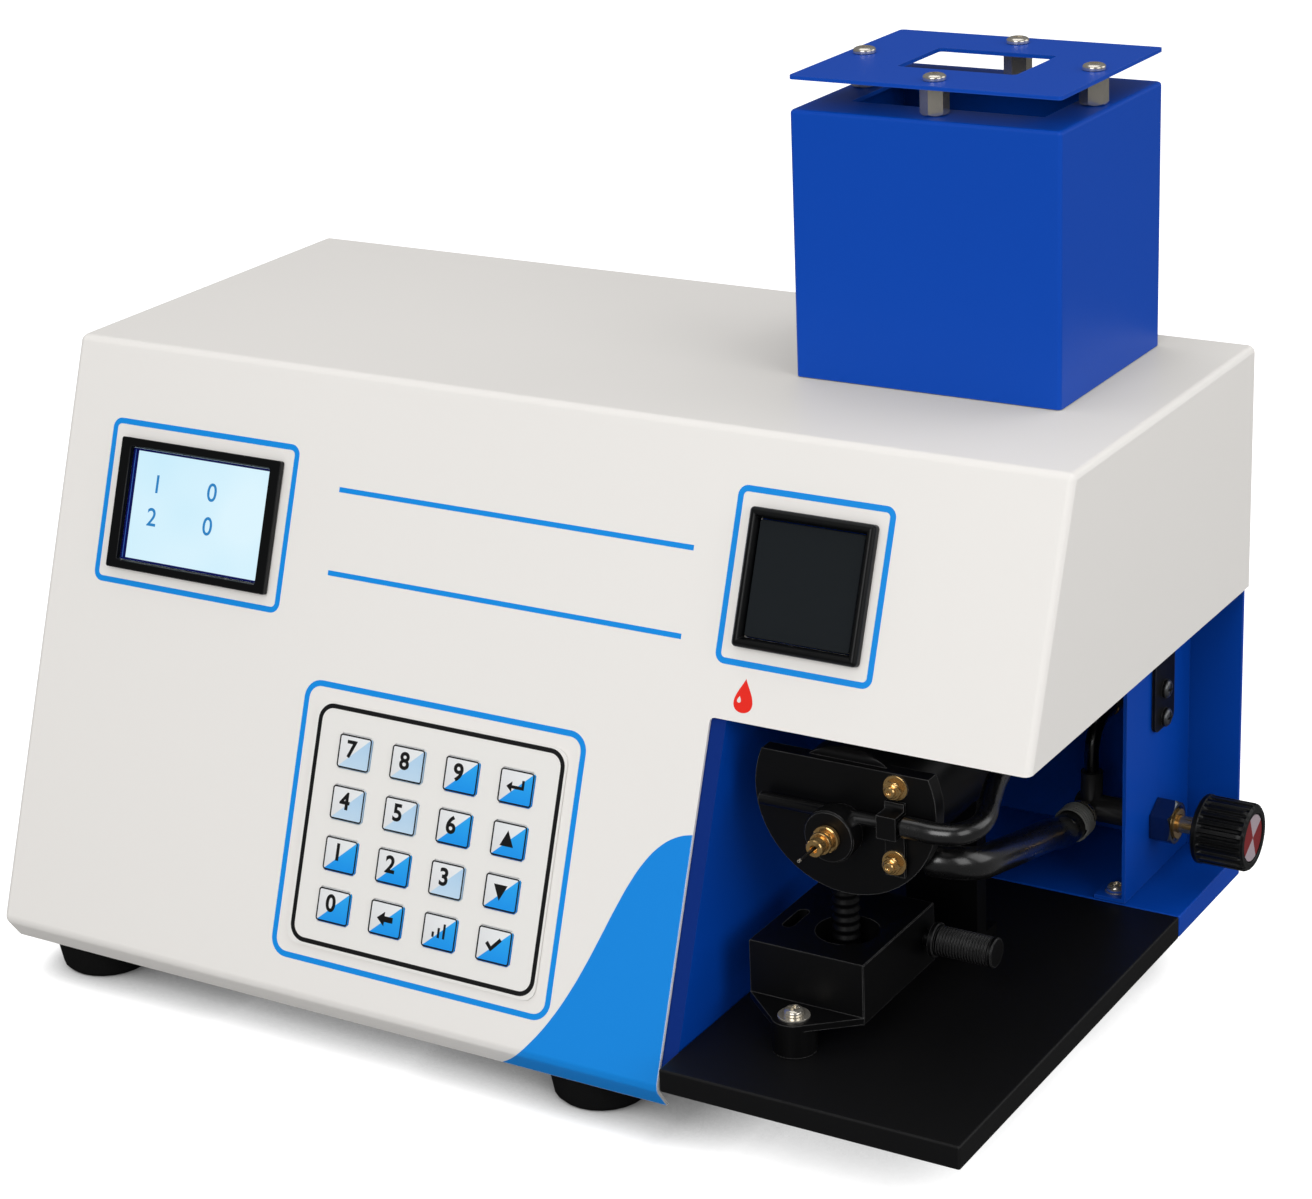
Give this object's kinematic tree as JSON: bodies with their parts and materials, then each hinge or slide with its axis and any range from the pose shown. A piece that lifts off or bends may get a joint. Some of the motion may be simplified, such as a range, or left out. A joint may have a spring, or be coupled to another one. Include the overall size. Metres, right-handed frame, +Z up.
{
  "type": "flame photometer",
  "caption": "Bench flame photometer: sloped white cabinet with display, keypad and flame window, open burner bay with mixing chamber, gas valve, hoses and drain block, and a box chimney.",
  "frame": {"origin": "centre of the bounding box's bottom, on the table under the instrument", "axes": "+X to the instrument's right seen from its front, +Y to its rear, +Z up; the sloped front panel faces -Y"},
  "size_m": [0.4576, 0.2748, 0.3699],
  "materials": {
    "white_paint": "semi-gloss powder coat",
    "blue_paint": "satin enamel",
    "black_powder": "fine satin powder coat",
    "black_anodised": "black anodised",
    "black_rubber": "matt moulded rubber",
    "black_hose": "smooth glossy hose",
    "black_plastic": "moulded gloss",
    "steel": "nickel-plated steel",
    "brass": "turned brass",
    "screen": "lit display face",
    "smoked_glass": "dark tinted pane",
    "overlay_film": "printed film",
    "key_film": "printed key",
    "circuit_green": "circuit board",
    "wire_wrap": "wound wire"
  },
  "bodies": {
    "cabinet": {"top_cover": "white_paint", "chassis_base": "blue_paint", "rear_panel": "blue_paint", "compartment_wall": "blue_paint", "bay_floor": "blue_paint", "burner_deck": "black_powder", "side_panel": "blue_paint", "side_bracket": "black_powder", "chimney_box": "blue_paint", "roof_plate": "blue_paint", "roof_post_right": "steel", "roof_post_rear": "steel", "roof_post_left": "steel", "roof_post_front": "steel", "foot_front_left": "black_rubber", "foot_front_middle": "black_rubber", "foot_rear_left": "black_rubber", "foot_rear_right": "black_rubber", "lcd_bezel": "black_plastic", "lcd_module": "screen", "window_frame": "black_plastic", "window_glass": "smoked_glass", "keypad_overlay": "overlay_film", "keypad_board": "circuit_green", "mixing_chamber": "black_anodised", "burner_head": "steel", "nebulizer_body": "black_anodised", "nebulizer_nozzle": "brass", "clamp_bracket": "black_anodised", "gas_hose": "black_hose", "air_hose": "black_hose", "gas_supply_hose": "black_hose", "hose_binding": "wire_wrap", "valve_body": "brass", "valve_nut": "steel", "drain_block": "black_anodised", "optics_housing": "black_anodised", "main_board": "circuit_green", "mains_inlet": "black_plastic", "hose_inlets": "brass"},
    "valve_stem": {"valve_stem": "brass"},
    "valve_knob": {"valve_knob": "black_plastic"},
    "drain_screw": {"drain_screw": "black_anodised"},
    "switch_rocker": {"switch_rocker": "black_plastic"},
    "key_7": {"key_7": "key_film"},
    "key_8": {"key_8": "key_film"},
    "key_9": {"key_9": "key_film"},
    "key_enter": {"key_enter": "key_film"},
    "key_4": {"key_4": "key_film"},
    "key_5": {"key_5": "key_film"},
    "key_6": {"key_6": "key_film"},
    "key_up": {"key_up": "key_film"},
    "key_1": {"key_1": "key_film"},
    "key_2": {"key_2": "key_film"},
    "key_3": {"key_3": "key_film"},
    "key_down": {"key_down": "key_film"},
    "key_0": {"key_0": "key_film"},
    "key_escape": {"key_escape": "key_film"},
    "key_calibrate": {"key_calibrate": "key_film"},
    "key_set": {"key_set": "key_film"}
  },
  "joints": [
    {"name": "key_7_press", "type": "slide", "parent": "cabinet", "child": "key_7", "axis": [0, 0.9365, -0.3507], "range_m": [0, 0.0005], "stiffness_N_per_m": 600, "springref_m": -0.0002},
    {"name": "key_8_press", "type": "slide", "parent": "cabinet", "child": "key_8", "axis": [0, 0.9365, -0.3507], "range_m": [0, 0.0005], "stiffness_N_per_m": 600, "springref_m": -0.0002},
    {"name": "key_9_press", "type": "slide", "parent": "cabinet", "child": "key_9", "axis": [0, 0.9365, -0.3507], "range_m": [0, 0.0005], "stiffness_N_per_m": 600, "springref_m": -0.0002},
    {"name": "key_enter_press", "type": "slide", "parent": "cabinet", "child": "key_enter", "axis": [0, 0.9365, -0.3507], "range_m": [0, 0.0005], "stiffness_N_per_m": 600, "springref_m": -0.0002},
    {"name": "key_4_press", "type": "slide", "parent": "cabinet", "child": "key_4", "axis": [0, 0.9365, -0.3507], "range_m": [0, 0.0005], "stiffness_N_per_m": 600, "springref_m": -0.0002},
    {"name": "key_5_press", "type": "slide", "parent": "cabinet", "child": "key_5", "axis": [0, 0.9365, -0.3507], "range_m": [0, 0.0005], "stiffness_N_per_m": 600, "springref_m": -0.0002},
    {"name": "key_6_press", "type": "slide", "parent": "cabinet", "child": "key_6", "axis": [0, 0.9365, -0.3507], "range_m": [0, 0.0005], "stiffness_N_per_m": 600, "springref_m": -0.0002},
    {"name": "key_up_press", "type": "slide", "parent": "cabinet", "child": "key_up", "axis": [0, 0.9365, -0.3507], "range_m": [0, 0.0005], "stiffness_N_per_m": 600, "springref_m": -0.0002},
    {"name": "key_1_press", "type": "slide", "parent": "cabinet", "child": "key_1", "axis": [0, 0.9365, -0.3507], "range_m": [0, 0.0005], "stiffness_N_per_m": 600, "springref_m": -0.0002},
    {"name": "key_2_press", "type": "slide", "parent": "cabinet", "child": "key_2", "axis": [0, 0.9365, -0.3507], "range_m": [0, 0.0005], "stiffness_N_per_m": 600, "springref_m": -0.0002},
    {"name": "key_3_press", "type": "slide", "parent": "cabinet", "child": "key_3", "axis": [0, 0.9365, -0.3507], "range_m": [0, 0.0005], "stiffness_N_per_m": 600, "springref_m": -0.0002},
    {"name": "key_down_press", "type": "slide", "parent": "cabinet", "child": "key_down", "axis": [0, 0.9365, -0.3507], "range_m": [0, 0.0005], "stiffness_N_per_m": 600, "springref_m": -0.0002},
    {"name": "key_0_press", "type": "slide", "parent": "cabinet", "child": "key_0", "axis": [0, 0.9365, -0.3507], "range_m": [0, 0.0005], "stiffness_N_per_m": 600, "springref_m": -0.0002},
    {"name": "key_escape_press", "type": "slide", "parent": "cabinet", "child": "key_escape", "axis": [0, 0.9365, -0.3507], "range_m": [0, 0.0005], "stiffness_N_per_m": 600, "springref_m": -0.0002},
    {"name": "key_calibrate_press", "type": "slide", "parent": "cabinet", "child": "key_calibrate", "axis": [0, 0.9365, -0.3507], "range_m": [0, 0.0005], "stiffness_N_per_m": 600, "springref_m": -0.0002},
    {"name": "key_set_press", "type": "slide", "parent": "cabinet", "child": "key_set", "axis": [0, 0.9365, -0.3507], "range_m": [0, 0.0005], "stiffness_N_per_m": 600, "springref_m": -0.0002},
    {"name": "valve_travel", "type": "slide", "parent": "cabinet", "child": "valve_stem", "axis": [1, 0, 0], "range_m": [-0.0038, 0]},
    {"name": "valve_turn", "type": "hinge", "parent": "valve_stem", "child": "valve_knob", "pos_m": [0.2181, 0.0884, 0.0639], "axis": [1, 0, 0], "range_deg": [-1800, 0]},
    {"name": "drain_turn", "type": "hinge", "parent": "cabinet", "child": "drain_screw", "pos_m": [0.1612, -0.042, 0.0628], "axis": [1, 0, 0], "range_deg": [-720, 720]},
    {"name": "switch_tilt", "type": "hinge", "parent": "cabinet", "child": "switch_rocker", "pos_m": [-0.1488, 0.1212, 0.098], "axis": [1, 0, 0], "range_deg": [-18, 0]}
  ],
  "couplings": [
    {"joint": "valve_travel", "follows": "valve_turn", "m_per_rad": 0.00011937}
  ]
}
